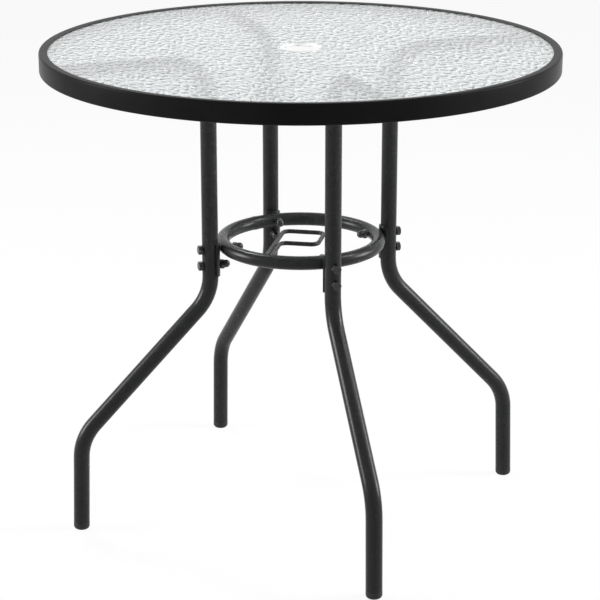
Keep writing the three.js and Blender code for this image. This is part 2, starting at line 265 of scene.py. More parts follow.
def grain(nodes, links, coords, scale, detail=2.0):
    """A noise with features of 1 / scale metres. Gives its value, from 0 to 1."""
    noise = nodes.new("ShaderNodeTexNoise")
    noise.inputs["Scale"].default_value = scale
    noise.inputs["Detail"].default_value = detail
    links.new(coords.outputs["Object"], noise.inputs["Vector"])
    return noise.outputs["Fac"]


def between(nodes, links, value, low, high):
    """Spreads the middle range of a noise, where most of its values are, over low to high."""
    spread = nodes.new("ShaderNodeMapRange")
    spread.inputs["From Min"].default_value = NOISE_LOW
    spread.inputs["From Max"].default_value = NOISE_HIGH
    spread.inputs["To Min"].default_value = low
    spread.inputs["To Max"].default_value = high
    links.new(value, spread.inputs["Value"])
    return spread.outputs["Result"]


def tinted(nodes, links, value, dark, light):
    """A colour between two, by a value from 0 to 1."""
    mix = nodes.new("ShaderNodeMix")
    mix.data_type = "RGBA"
    mix.inputs["A"].default_value = (*dark, 1.0)
    mix.inputs["B"].default_value = (*light, 1.0)
    links.new(value, mix.inputs["Factor"])
    return mix.outputs["Result"]


def raised(nodes, links, value, depth):
    """A bump whose pattern is `depth` metres deep."""
    bump = nodes.new("ShaderNodeBump")
    bump.inputs["Distance"].default_value = depth
    links.new(value, bump.inputs["Height"])
    return bump.outputs["Normal"]


# %% Powder coat
COAT_DRIFT, COAT_PATCHES, PATCH_DETAIL, PATCH_CHANGE = 14.0, 60.0, 3.0, 0.015


def powder_coat(name, dark, light, gloss, roughness, peel_scale, peel_depth):
    """Black powder coat between two near shades, with its orange peel."""
    finish, nodes, links, shader, coords = new_finish(name)
    drift = grain(nodes, links, coords, COAT_DRIFT)
    links.new(tinted(nodes, links, between(nodes, links, drift, 0.0, 1.0), dark, light),
              shader.inputs["Base Color"])
    patches = grain(nodes, links, coords, COAT_PATCHES, PATCH_DETAIL)
    links.new(between(nodes, links, patches, roughness - PATCH_CHANGE, roughness + PATCH_CHANGE),
              shader.inputs["Roughness"])
    peel = grain(nodes, links, coords, peel_scale)
    links.new(raised(nodes, links, peel, peel_depth), shader.inputs["Normal"])
    shader.inputs["Specular IOR Level"].default_value = gloss
    return finish


RIM_COAT = powder_coat("smooth black powder coat", dark=(0.013, 0.0128, 0.0128),
                       light=(0.017, 0.0168, 0.0168), gloss=0.024, roughness=0.3,
                       peel_scale=800.0, peel_depth=0.008 * MM)
FRAME_COAT = powder_coat("satin charcoal powder coat", dark=(0.0185, 0.019, 0.0198),
                         light=(0.0215, 0.022, 0.0228), gloss=0.16, roughness=0.27,
                         peel_scale=900.0, peel_depth=0.008 * MM)
print("coats:", RIM_COAT.name, "and", FRAME_COAT.name)

# %% [markdown]
# ## Rim band
# The rim is rolled from thin sheet: a lip on top covers the edge of the glass, a bend leads down to
# the upright band, and the lower edge is turned in, so that no raw edge can be felt. A cylinder with
# 256 sides is round enough. Its top is inset to the lip and its bottom to the hem, both middles go,
# and the two corners are bevelled round. The lip's inner edge is pressed down towards the glass, and
# Solidify gives the sheet its thickness.

# %% Roll a band out of a capped cylinder


def rolled_band(piece, ledge, corner, steps, hem=None):
    """A ledge on top, a round corner, an upright band, and below it a hem or an open foot."""
    heights = [vertex.co.z for vertex in piece.data.vertices]
    top, bottom = max(heights), min(heights)
    radius = max(vertex.co.xy.length for vertex in piece.data.vertices)
    shape(piece)
    pick("FACE", lambda at, face: near(at.z, top))
    bpy.ops.mesh.inset(thickness=ledge)
    bpy.ops.mesh.delete(type="FACE")
    pick("FACE", lambda at, face: near(at.z, bottom))
    if hem:
        bpy.ops.mesh.inset(thickness=hem)
    bpy.ops.mesh.delete(type="FACE")
    pick("EDGE", lambda at, edge: near(at.z, top) and near(at.xy.length, radius)
         and len(edge.link_faces) == 2 and near(edge.verts[0].co.z, edge.verts[1].co.z))
    bpy.ops.mesh.bevel(offset=corner, segments=steps, affect="EDGES")
    if hem:
        pick("EDGE", lambda at, edge: near(at.z, bottom) and near(at.xy.length, radius)
             and near(edge.verts[0].co.z, edge.verts[1].co.z))
        bpy.ops.mesh.bevel(offset=corner, segments=steps, affect="EDGES")
    close_up()


# %% Rim band
ROUND_SIDES = 256
TABLE_RADIUS, TABLE_TOP = 400 * MM, 762 * MM
BAND_HEIGHT, LIP_WIDTH, HEM_WIDTH = 31 * MM, 13.4 * MM, 3.2 * MM
SHEET, BAND_BEND, BAND_STEPS = 0.9 * MM, 3 * MM, 6
LIP_DROP, LIP_EDGE = 0.85 * MM, 1 * MM

deselect()
bpy.ops.mesh.primitive_cylinder_add(vertices=ROUND_SIDES, radius=TABLE_RADIUS, depth=BAND_HEIGHT,
                                    location=(0, 0, TABLE_TOP - BAND_HEIGHT / 2))
rim = start("rim_band")
rolled_band(rim, LIP_WIDTH, BAND_BEND, BAND_STEPS, hem=HEM_WIDTH)
shape(rim)
pick("VERT", lambda at, vertex: near(at.z, TABLE_TOP)
     and at.xy.length < TABLE_RADIUS - LIP_WIDTH + LIP_EDGE)
bpy.ops.transform.translate(value=(0, 0, -LIP_DROP))
bpy.ops.object.mode_set(mode="OBJECT")
modify(rim, "SOLIDIFY", thickness=SHEET, offset=-1.0, use_even_offset=True)
smooth(rim)
fit(rim, "rim_steel", [RIM_COAT], "table_rim")

# %% [markdown]
# ## Carrier ring
# Inside the rim sits a ring of rolled angle strip. The glass stands on its ledge, which the lip above
# just covers. It is made in the same way as the rim, with an open foot.

# %% Carrier ring
CARRIER_RADIUS, CARRIER_TOP, CARRIER_FOOT, STRIP = 398.2 * MM, 753.6 * MM, 734.3 * MM, 1.5 * MM
LEDGE_WIDTH, STRIP_BEND, STRIP_STEPS = 11 * MM, 2.5 * MM, 4

deselect()
bpy.ops.mesh.primitive_cylinder_add(vertices=ROUND_SIDES, radius=CARRIER_RADIUS,
                                    depth=CARRIER_TOP - CARRIER_FOOT,
                                    location=(0, 0, (CARRIER_TOP + CARRIER_FOOT) / 2))
carrier = start("carrier_band")
rolled_band(carrier, LEDGE_WIDTH, STRIP_BEND, STRIP_STEPS)
modify(carrier, "SOLIDIFY", thickness=STRIP, offset=-1.0, use_even_offset=True)
smooth(carrier)
fit(carrier, "rim_steel", [RIM_COAT], "carrier_ring")

# %% [markdown]
# ## Patterned glass
# The glass is rolled between a patterned and a plain cylinder while it is soft, so its upper face is a
# field of shallow wrinkled cells. Relief that fine is made from a dense grid and a Displace modifier:
# two noises of bent cells raise the surface between the creases. The crowns, and the margin that the
# rim covers, are then pressed level. The slab is trimmed by a round disc with ground edges and the
# hole for the umbrella, as the glazier cuts it. The underside stays plain. It is shaded flat, because
# its long faces would carry the tilt of the ground edge far inwards and bend what is seen through it.

# %% Glass slab with its rolled relief
GLASS_RADIUS, GLASS_TOP, GLASS_THICK = 395.5 * MM, 760.2 * MM, 5 * MM
HOLE_RADIUS, GROUND_EDGE = 31 * MM, 0.8 * MM
CROWN_LEVEL, CROWN_SHARE, MARGIN_FROM = GLASS_TOP - 0.05 * MM, 0.2, 385.5 * MM
RELIEF = {
    # name: (size of a cell, depth)
    "wide cells": (17 * MM, 0.6 * MM),
    "fine wrinkles": (8 * MM, 0.25 * MM),
}
CELL_BEND = 0.9
SLAB_CUTS, SLAB_SIZE = 338, 800 * MM

deselect()
bpy.ops.mesh.primitive_grid_add(x_subdivisions=SLAB_CUTS, y_subdivisions=SLAB_CUTS, size=SLAB_SIZE,
                                location=(0, 0, CROWN_LEVEL))
glass = start("patterned_glass_round")
for name, (cell, depth) in RELIEF.items():
    rolled = bpy.data.textures.new(name, "DISTORTED_NOISE")
    rolled.noise_basis = "VORONOI_F2_F1"
    rolled.noise_distortion = "ORIGINAL_PERLIN"
    rolled.distortion = CELL_BEND
    rolled.noise_scale = cell
    modify(glass, "DISPLACE", texture=rolled, texture_coords="LOCAL", direction="Z",
           mid_level=0.0, strength=depth)


def level_at(share):
    """The height that this share of the slab's points doesn't pass."""
    heights = sorted(vertex.co.z for vertex in glass.data.vertices)
    return heights[int(share * (len(heights) - 1))]


flat_level = level_at(1 - CROWN_SHARE)
shape(glass)
pick("VERT", lambda at, vertex: at.z > flat_level or at.xy.length > MARGIN_FROM)
bpy.ops.transform.resize(value=(1, 1, 0), center_override=(0, 0, flat_level))
bpy.ops.mesh.select_all(action="SELECT")
bpy.ops.transform.translate(value=(0, 0, CROWN_LEVEL - flat_level))
bpy.ops.object.mode_set(mode="OBJECT")
print("relief from", round(level_at(0) / MM, 2), "to", round(level_at(1) / MM, 2), "mm")

# %% Thicken the slab
SLAB_DEPTH = 4 * GLASS_THICK
shape(glass)
bpy.ops.mesh.select_all(action="SELECT")
bpy.ops.mesh.extrude_region_move(TRANSFORM_OT_translate={"value": (0, 0, -SLAB_DEPTH)})
close_up()
print("slab faces:", len(glass.data.polygons))

# %% Trim the slab to a round with ground edges and a hole
GROUND_STEPS, DOWNWARDS = 2, -0.99


def combine(piece, tool, how):
    """Unites a piece with a tool, cuts it by the tool or trims it to the tool, which is used up."""
    modify(piece, "BOOLEAN", operation=how, solver="EXACT", object=tool)
    bpy.data.objects.remove(tool)


deselect()
bpy.ops.mesh.primitive_circle_add(vertices=ROUND_SIDES, radius=GLASS_RADIUS,
                                  location=(0, 0, GLASS_TOP - GLASS_THICK))
blank = start("glass_blank")
shape(blank)
bpy.ops.mesh.select_all(action="SELECT")
bpy.ops.mesh.extrude_edges_move()
inwards = HOLE_RADIUS / GLASS_RADIUS
bpy.ops.transform.resize(value=(inwards, inwards, 1), center_override=(0, 0, 0))
bpy.ops.mesh.select_all(action="SELECT")
bpy.ops.mesh.extrude_region_move(TRANSFORM_OT_translate={"value": (0, 0, GLASS_THICK)})
bpy.ops.mesh.select_all(action="SELECT")
bpy.ops.mesh.normals_make_consistent(inside=False)
pick("EDGE", lambda at, edge: near(edge.verts[0].co.z, edge.verts[1].co.z)
     and near(edge.verts[0].co.xy.length, edge.verts[1].co.xy.length))
bpy.ops.mesh.bevel(offset=GROUND_EDGE, segments=GROUND_STEPS, affect="EDGES")
close_up()
combine(glass, blank, "INTERSECT")
smooth(glass, angle=30)
shape(glass)
pick("FACE", lambda at, face: face.normal.z < DOWNWARDS)
bpy.ops.mesh.faces_shade_flat()
bpy.ops.object.mode_set(mode="OBJECT")
print("glass faces:", len(glass.data.polygons))

# %% [markdown]
# ## Glass finishes
# Each wrinkle shows as a thin line, because one flank of each crease is painted white as a highlight and
# the other grey as shade, in the glass's base colour. The creases are the borders of bent cells. The
# cells are about twice as long as wide, since the glass is drawn out as it leaves the rollers. The
# distance to a border is read a step behind and a step ahead along the draw. The difference paints a
# white highlight on one flank and a grey shade on the other.
# The underside is clear and nearly plain, and the polished wall of the hole shines almost white.

# %% Cells drawn out and bent
DRAW_TURN, DRAW_SHARE = math.radians(5.2), 0.5
BEND_SCALE, BEND_REACH = 120.0, 5 * MM

GLASS_FACE, nodes, links, shader, coords = new_finish("patterned glass")
drawn_out = nodes.new("ShaderNodeMapping")
drawn_out.inputs["Rotation"].default_value = (0, 0, DRAW_TURN)
drawn_out.inputs["Scale"].default_value = (1, DRAW_SHARE, 1)
links.new(coords.outputs["Object"], drawn_out.inputs["Vector"])
wander = nodes.new("ShaderNodeTexNoise")
wander.inputs["Scale"].default_value = BEND_SCALE
links.new(drawn_out.outputs[0], wander.inputs["Vector"])
bent = nodes.new("ShaderNodeVectorMath")
bent.operation = "MULTIPLY_ADD"
links.new(wander.outputs["Color"], bent.inputs[0])
bent.inputs[1].default_value = (BEND_REACH, BEND_REACH, 0)
links.new(drawn_out.outputs[0], bent.inputs[2])
print("cells are", 1 / DRAW_SHARE, "times as long as wide")

# %% Flanks of the creases, with painted light and shade
CELL_SCALE, CREASE_WIDTH, FLANK_STEP = 88.0, 0.3, 1.6 * MM


def crease_height(step):
    """0 in the middle of a crease and 1 beside it, read this far along the draw."""
    moved = nodes.new("ShaderNodeVectorMath")
    moved.operation = "ADD"
    links.new(bent.outputs[0], moved.inputs[0])
    moved.inputs[1].default_value = (0, step, 0)
    cells = nodes.new("ShaderNodeTexVoronoi")
    cells.voronoi_dimensions = "2D"
    cells.feature = "DISTANCE_TO_EDGE"
    cells.inputs["Scale"].default_value = CELL_SCALE
    links.new(moved.outputs[0], cells.inputs["Vector"])
    height = nodes.new("ShaderNodeMapRange")
    height.inputs["From Max"].default_value = CREASE_WIDTH
    links.new(cells.outputs["Distance"], height.inputs["Value"])
    return height.outputs["Result"]


# Painted light and shade: the difference is above zero on the flank painted as a highlight and below
# zero on the flank painted as shade.
painted_flank_shade = nodes.new("ShaderNodeMath")
painted_flank_shade.operation = "SUBTRACT"
links.new(crease_height(-FLANK_STEP), painted_flank_shade.inputs[0])
links.new(crease_height(FLANK_STEP), painted_flank_shade.inputs[1])
print("a cell is about", round(1 / CELL_SCALE / MM), "mm wide")

# %% Patterned glass finish
# The two tints are painted: a grey shade for one flank of each crease and a white highlight for the
# other.
PAINTED_SHADE_TINT, PAINTED_HIGHLIGHT_TINT = (0.08, 0.115, 0.125), (0.968, 0.996, 1.0)
FULL_PAINTED_SHADE, FULL_PAINTED_HIGHLIGHT = -0.78, 0.32
MOTTLE_SCALE, MOTTLE_DEPTH = 300.0, 0.05 * MM
HAZE_SCALE, HAZE_LOW, HAZE_HIGH = 90.0, 0.1, 0.18

# The flank difference is spread to a mix of the painted shade and the painted highlight in the base
# colour.
painted_flank_light = nodes.new("ShaderNodeMapRange")
painted_flank_light.inputs["From Min"].default_value = FULL_PAINTED_SHADE
painted_flank_light.inputs["From Max"].default_value = FULL_PAINTED_HIGHLIGHT
links.new(painted_flank_shade.outputs[0], painted_flank_light.inputs["Value"])
links.new(tinted(nodes, links, painted_flank_light.outputs["Result"], PAINTED_SHADE_TINT, PAINTED_HIGHLIGHT_TINT),
          shader.inputs["Base Color"])
mottle = grain(nodes, links, coords, MOTTLE_SCALE)
links.new(raised(nodes, links, mottle, MOTTLE_DEPTH), shader.inputs["Normal"])
haze = grain(nodes, links, coords, HAZE_SCALE)
links.new(between(nodes, links, haze, HAZE_LOW, HAZE_HIGH), shader.inputs["Roughness"])
shader.inputs["Transmission Weight"].default_value = 0.62
shader.inputs["IOR"].default_value = 1.5
print("flanks from", PAINTED_SHADE_TINT, "to", PAINTED_HIGHLIGHT_TINT)


def let_lamps_through(finish, share):
    """Rays from lamps pass this share of the glass, so that its shadow is as pale as a real one."""
    nodes, links = finish.node_tree.nodes, finish.node_tree.links
    path = nodes.new("ShaderNodeLightPath")
    scaled = nodes.new("ShaderNodeMath")
    scaled.operation = "MULTIPLY"
    scaled.inputs[1].default_value = share
    links.new(path.outputs["Is Shadow Ray"], scaled.inputs[0])
    clear = nodes.new("ShaderNodeBsdfTransparent")
    mix = nodes.new("ShaderNodeMixShader")
    links.new(scaled.outputs[0], mix.inputs["Fac"])
    links.new(nodes["Principled BSDF"].outputs[0], mix.inputs[1])
    links.new(clear.outputs[0], mix.inputs[2])
    links.new(mix.outputs[0], nodes["Material Output"].inputs["Surface"])


let_lamps_through(GLASS_FACE, 0.9)

# %% Underside and polished edge


def plain_finish(name, tint, gloss, relief, settings):
    """A finish of three noises: for the tint a scale and two colours, for the gloss a scale and two
    roughnesses, for the relief a scale and a depth. The settings name the shader's other sockets."""
    finish, nodes, links, shader, coords = new_finish(name)
    scale, dark, light = tint
    links.new(tinted(nodes, links, grain(nodes, links, coords, scale), dark, light),
              shader.inputs["Base Color"])
    scale, low, high = gloss
    links.new(between(nodes, links, grain(nodes, links, coords, scale), low, high),
              shader.inputs["Roughness"])
    scale, depth = relief
    links.new(raised(nodes, links, grain(nodes, links, coords, scale), depth),
              shader.inputs["Normal"])
    for socket, value in settings.items():
        shader.inputs[socket].default_value = value
    return finish


GLASS_UNDERSIDE = plain_finish("plain glass underside",
                               tint=(30.0, (0.92, 0.95, 0.945), (0.97, 0.985, 0.98)),
                               gloss=(90.0, 0.04, 0.1), relief=(120.0, 0.02 * MM),
                               settings={"Transmission Weight": 1.0, "IOR": 1.5})
let_lamps_through(GLASS_UNDERSIDE, 0.95)
GLASS_EDGE = plain_finish("polished glass edge",
                          tint=(80.0, (0.93, 0.95, 0.95), (0.98, 0.99, 0.99)),
                          gloss=(300.0, 0.2, 0.35), relief=(600.0, 0.02 * MM),
                          settings={"Metallic": 0.8})
let_lamps_through(GLASS_EDGE, 0.9)
print("glass finishes:", GLASS_FACE.name, "/", GLASS_UNDERSIDE.name, "/", GLASS_EDGE.name)

# %% Fit the glass
FACE_SLOT, UNDERSIDE_SLOT, EDGE_SLOT = range(3)
STEEP, UNDER, EDGE_REACH = 0.9, -0.5, HOLE_RADIUS + GROUND_EDGE + 0.1 * MM
fit(glass, "patterned_glass", [GLASS_FACE, GLASS_UNDERSIDE, GLASS_EDGE], "glass_top")
for face in glass.data.polygons:
    if abs(face.normal.z) < STEEP and face.center.xy.length < EDGE_REACH:
        face.material_index = EDGE_SLOT
    elif face.normal.z < UNDER:
        face.material_index = UNDERSIDE_SLOT
    else:
        face.material_index = FACE_SLOT

# %% [markdown]
# ## Clear pads
# Glass never lies on bare steel. Eight small round pads of clear soft plastic sit on the ledge, with
# their edges rounded where they were pressed out of the sheet.

# %% Clear pads
CLEAR_PLASTIC = plain_finish("clear soft plastic",
                             tint=(200.0, (0.82, 0.84, 0.84), (0.9, 0.92, 0.92)),
                             gloss=(400.0, 0.25, 0.4), relief=(900.0, 0.01 * MM),
                             settings={"Transmission Weight": 0.6})
PADS, PAD_SIDES, PAD_RADIUS, PAD_PATH = 8, 32, 4 * MM, 391 * MM
PAD_HEIGHT, PAD_GAP, PAD_EDGE, PAD_STEPS = 1.4 * MM, 0.1 * MM, 0.35 * MM, 3


def copy_turned(piece, name, degrees):
    """A copy with a mesh of its own, turned about the table's axis."""
    twin = piece.copy()
    twin.data = piece.data.copy()
    twin.name = twin.data.name = name
    scene.collection.objects.link(twin)
    twin.data.transform(Matrix.Rotation(math.radians(degrees), 4, "Z"))
    return twin


deselect()
pad_middle = CARRIER_TOP + PAD_HEIGHT / 2 + PAD_GAP
bpy.ops.mesh.primitive_cylinder_add(vertices=PAD_SIDES, radius=PAD_RADIUS, depth=PAD_HEIGHT,
                                    location=(PAD_PATH, 0, pad_middle))
pad = start("pad_pattern")
shape(pad)
pick("EDGE", lambda at, edge: near(edge.verts[0].co.z, edge.verts[1].co.z))
bpy.ops.mesh.bevel(offset=PAD_EDGE, segments=PAD_STEPS, affect="EDGES")
close_up()
smooth(pad)
for number in range(PADS):
    twin = copy_turned(pad, f"clear_pad_{number + 1}", (number + 0.5) * 360 / PADS)
    fit(twin, "clear_pad", [CLEAR_PLASTIC], f"glass_pad_{number + 1}")
bpy.data.objects.remove(pad)

# %% [markdown]
# ## Legs
# Each leg is one steel tube of 25.4 mm. A tube bender works along it: straight, bend, straight. The
# same happens here: a circle is extruded to where a bend begins, spun round the bend's centre, and
# extruded again. The wall is then given its thickness. Below the ring three of the legs are turned a
# few degrees about their uprights, as the real ones were fitted.

# %% Draw a tube or rod along its corners
BEND_STEP = math.radians(5)


def draw_round(name, radius, sides, corners, bends):
    """The skin of a round tube that runs through these corners and is bent round each by its radius."""
    way = [(after - before).normalized() for before, after in zip(corners, corners[1:])]
    deselect()
    bpy.ops.mesh.primitive_circle_add(vertices=sides, radius=radius, location=corners[0],
                                      rotation=UP.rotation_difference(way[0]).to_euler())
    piece = start(name)
    shape(piece)
    bpy.ops.mesh.select_all(action="SELECT")
    here = corners[0]
    for corner, bend, before, after in zip(corners[1:], bends, way, way[1:]):
        turn = before.angle(after)
        reach = bend * math.tan(turn / 2)
        bend_start = corner - before * reach
        bpy.ops.mesh.extrude_region_move(TRANSFORM_OT_translate={"value": bend_start - here})
        axis = before.cross(after).normalized()
        bpy.ops.mesh.spin(steps=math.ceil(turn / BEND_STEP), angle=-turn, axis=axis,
                          center=bend_start + axis.cross(before) * bend)
        here = corner + after * reach
    bpy.ops.mesh.extrude_region_move(TRANSFORM_OT_translate={"value": corners[-1] - here})
    close_up()
    return piece


# %% Four legs
SIDES = {"right": 0, "back": 90, "left": 180, "front": 270}
LEG_TURNS = {"right": 0, "back": 7, "left": -5, "front": -3}
LEG_RADIUS, LEG_WALL, UPRIGHT = 12.7 * MM, 1.2 * MM, 149.5 * MM
ARM_HEIGHT, KNEE_HEIGHT, ANKLE_HEIGHT = 741.3 * MM, 376 * MM, 154 * MM
ARM_END, ANKLE_REACH, FOOT_REACH, CAP_HEIGHT = 383.6 * MM, 361 * MM, 366 * MM, 12 * MM
SHOULDER_BEND, LEG_BEND, LEG_SIDES = 60 * MM, 80 * MM, 40
foot_way = Vector((FOOT_REACH - ANKLE_REACH, 0, -ANKLE_HEIGHT)).normalized()
upper_leg = [Vector((ARM_END, 0, ARM_HEIGHT)), Vector((UPRIGHT, 0, ARM_HEIGHT)),
             Vector((UPRIGHT, 0, KNEE_HEIGHT))]
lower_leg = [Vector((ANKLE_REACH, 0, ANKLE_HEIGHT)),
             Vector((FOOT_REACH, 0, 0)) - foot_way * CAP_HEIGHT]


def below_upright(point, side):
    """A point of the leg's lower part, turned about the upright and to its side of the table."""
    about = Vector((UPRIGHT, 0, 0))
    turned = Matrix.Rotation(math.radians(LEG_TURNS[side]), 3, "Z") @ (point - about) + about
    return Matrix.Rotation(math.radians(SIDES[side]), 3, "Z") @ turned


for side, degrees in SIDES.items():
    around = Matrix.Rotation(math.radians(degrees), 3, "Z")
    path = [around @ point for point in upper_leg]
    path += [below_upright(point, side) for point in lower_leg]
    leg = draw_round(f"leg_tube_{side}", LEG_RADIUS, LEG_SIDES, path,
                     [SHOULDER_BEND, LEG_BEND, LEG_BEND])
    modify(leg, "SOLIDIFY", thickness=LEG_WALL, offset=-1.0)
    smooth(leg)
    fit(leg, "frame_steel", [FRAME_COAT], f"leg_{side}")

# %% [markdown]
# ## Foot caps
# A black plastic cap closes each tube end and spares the floor. Its head is as wide as the tube, with
# a well rounded edge, and because the leg leans a little, the sole is cut flat where it stands.

# %% Head of a foot cap
CAP_PLASTIC = plain_finish("black moulded plastic",
                           tint=(40.0, (0.011, 0.011, 0.0115), (0.016, 0.016, 0.0165)),
                           gloss=(150.0, 0.42, 0.55), relief=(1500.0, 0.02 * MM),
                           settings={"Specular IOR Level": 0.3})
SOLE_BELOW, TUBE_GAP = 0.5 * MM, 0.1 * MM
lean = UP.rotation_difference(-foot_way).to_euler()
head_height = CAP_HEIGHT + SOLE_BELOW - TUBE_GAP
middle = Vector((FOOT_REACH, 0, 0)) + foot_way * SOLE_BELOW - foot_way * head_height / 2
deselect()
bpy.ops.mesh.primitive_cylinder_add(vertices=LEG_SIDES, radius=LEG_RADIUS, depth=head_height,
                                    rotation=lean, location=middle)
cap = start("cap_pattern")


def along_foot(at):
    """How far a point lies above the cap's middle, along the leaning tube."""
    return (middle - at).dot(foot_way)


def off_tube_axis(at):
    """How far a point lies from the axis of the leaning tube."""
    return (at - middle + foot_way * along_foot(at)).length


print("cap head:", round(head_height / MM, 1), "mm high")

# %% Plug, rounded edges and flat sole
PLUG_RADIUS, PLUG_TOP, PLUG_TAPER = 11.1 * MM, 30 * MM, 0.92
CAP_EDGE, CAP_STEPS = 6 * MM, 8
SHOULDER, SHOULDER_EDGE, SHOULDER_STEPS = 0.3 * MM, 0.5 * MM, 3
CUT_SLACK = 0.001 * MM

shape(cap)
pick("FACE", lambda at, face: near(along_foot(at), head_height / 2))
bpy.ops.mesh.inset(thickness=SHOULDER)
bpy.ops.mesh.inset(thickness=LEG_RADIUS - PLUG_RADIUS)
plug = -foot_way * (PLUG_TOP - CAP_HEIGHT)
bpy.ops.mesh.extrude_region_move(TRANSFORM_OT_translate={"value": plug})
bpy.ops.transform.resize(value=(PLUG_TAPER, PLUG_TAPER, PLUG_TAPER))
pick("EDGE", lambda at, edge: near(along_foot(at), -head_height / 2, 0.3 * MM)
     and len(edge.link_faces) == 2)
bpy.ops.mesh.bevel(offset=CAP_EDGE, segments=CAP_STEPS, affect="EDGES")
pick("EDGE", lambda at, edge: near(along_foot(at), head_height / 2, 0.02 * MM)
     and near(off_tube_axis(at), LEG_RADIUS, 0.1 * MM))
bpy.ops.mesh.bevel(offset=SHOULDER_EDGE, segments=SHOULDER_STEPS, affect="EDGES")
bpy.ops.mesh.select_all(action="SELECT")
bpy.ops.mesh.bisect(plane_co=(0, 0, 0), plane_no=UP, use_fill=True, clear_inner=True,
                    threshold=CUT_SLACK)
close_up()
smooth(cap)
print("cap faces:", len(cap.data.polygons))

# %% Four foot caps
to_upright = Matrix.Translation((UPRIGHT, 0, 0))
for side, degrees in SIDES.items():
    twin = copy_turned(cap, f"tube_cap_{side}", 0)
    leg_turn = Matrix.Rotation(math.radians(LEG_TURNS[side]), 4, "Z")
    twin.data.transform(to_upright @ leg_turn @ to_upright.inverted())
    twin.data.transform(Matrix.Rotation(math.radians(degrees), 4, "Z"))
    fit(twin, "cap_plastic", [CAP_PLASTIC], f"foot_cap_{side}")
bpy.data.objects.remove(cap)

# %% [markdown]
# ## Support ring
# The ring is a tube rolled to a circle and welded shut. The circle of the tube is spun all the way
# round the table's axis. Where its ends meet, beside the back leg, a low weld bead stands proud.

# %% Support ring
RING_RADIUS, RING_TUBE, RING_HEIGHT = 123 * MM, 10.7 * MM, 451 * MM
RING_SIDES, RING_STEPS = 32, 120
QUARTER = math.pi / 2

deselect()
bpy.ops.mesh.primitive_circle_add(vertices=RING_SIDES, radius=RING_TUBE,
                                  location=(0, RING_RADIUS, RING_HEIGHT), rotation=(0, QUARTER, 0))
ring = start("ring_tube")
shape(ring)
bpy.ops.mesh.select_all(action="SELECT")
bpy.ops.mesh.spin(steps=RING_STEPS, angle=2 * math.pi, center=(0, 0, RING_HEIGHT), axis=(0, 0, 1))
close_up()
print("ring faces:", len(ring.data.polygons))

# %% Weld bead and wall
WELD_AT, WELD_SWELL = math.radians(108), 1.05


def ring_angle(at):
    """The angle at which a point lies about the table's axis."""
    return math.atan2(at.y, at.x)


shape(ring)
pick("VERT", lambda at, vertex: near(ring_angle(at), WELD_AT, math.radians(0.5)))
weld_middle = (RING_RADIUS * math.cos(WELD_AT), RING_RADIUS * math.sin(WELD_AT), RING_HEIGHT)
bpy.ops.transform.resize(value=(WELD_SWELL, WELD_SWELL, WELD_SWELL), center_override=weld_middle)
bpy.ops.object.mode_set(mode="OBJECT")
modify(ring, "SOLIDIFY", thickness=LEG_WALL, offset=-1.0)
smooth(ring)
fit(ring, "frame_steel", [FRAME_COAT], "support_ring")

# %% [markdown]
# ## Umbrella guide
# One rod of 7 mm is bent to a square and its two ends run out to the ring side by side, where they
# are welded. It is drawn like the legs. Each end then swells in three steps to the weld around it.

# %% Umbrella guide
ROD_RADIUS, LOOP, ROD_BEND, GUIDE_HEIGHT = 3.5 * MM, 33 * MM, 12 * MM, 455 * MM
TAIL_LINE, ROD_SIDES, GUIDE_TURN = 25.5 * MM, 20, math.radians(240)
TUBE_SHARE = 0.85


def to_ring(line):
    """How far a tail on this line runs before it meets the ring's tube."""
    return math.sqrt(RING_RADIUS ** 2 - line ** 2) - RING_TUBE * TUBE_SHARE


outline = [(to_ring(LOOP), -LOOP), (-LOOP, -LOOP), (-LOOP, LOOP), (LOOP, LOOP), (LOOP, -TAIL_LINE),
           (to_ring(TAIL_LINE), -TAIL_LINE)]
turn = Matrix.Rotation(GUIDE_TURN, 3, "Z")
path = [turn @ Vector((x, y, GUIDE_HEIGHT)) for x, y in outline]
guide = draw_round("guide_rod", ROD_RADIUS, ROD_SIDES, path, [ROD_BEND] * 4)
print("rod faces:", len(guide.data.polygons))

# %% Welds at the ends of the guide
WELD_STEPS = ((1.22, 0.5 * MM), (1.12, 1 * MM), (1.08, 1.5 * MM))
for end in (path[0], path[-1]):
    shape(guide)
    pick("EDGE", lambda at, edge: edge.is_boundary and (at - end).length < 1.5 * ROD_RADIUS)
    outwards = Vector((end.x, end.y, 0)).normalized()
    for swell, further in WELD_STEPS:
        bpy.ops.mesh.extrude_region_move(TRANSFORM_OT_translate={"value": outwards * further})
        bpy.ops.transform.resize(value=(swell, swell, swell))
    bpy.ops.mesh.edge_face_add()
    close_up()
smooth(guide)
fit(guide, "frame_steel", [FRAME_COAT], "umbrella_guide")

# %% [markdown]
# ## Saddles
# A curved plate lies between each leg and the ring and spreads the load of the bolts. It starts as a
# cylinder round the leg, of which only the inner part is kept. Its four corners are rounded and it
# gets the thickness of the plate.

# %% Saddles
SADDLE_INNER, SADDLE_THICK, SADDLE_HALF = 13 * MM, 2.5 * MM, math.radians(65)
SADDLE_LOW, SADDLE_HIGH, SADDLE_CORNER = 408 * MM, 462 * MM, 4 * MM
SADDLE_SIDES, SADDLE_COLUMN, CORNER_COLUMNS, ANGLE_SLACK = 72, math.radians(5), 4, 0.01

deselect()
bpy.ops.mesh.primitive_cylinder_add(vertices=SADDLE_SIDES, radius=SADDLE_INNER,
                                    depth=SADDLE_HIGH - SADDLE_LOW, end_fill_type="NOTHING",
                                    location=(UPRIGHT, 0, (SADDLE_LOW + SADDLE_HIGH) / 2))
saddle = start("saddle_pattern")


def off_middle(at):
    """The angle between a point of the saddle and its middle, seen from the leg's axis."""
    return abs(math.atan2(at.y, UPRIGHT - at.x))


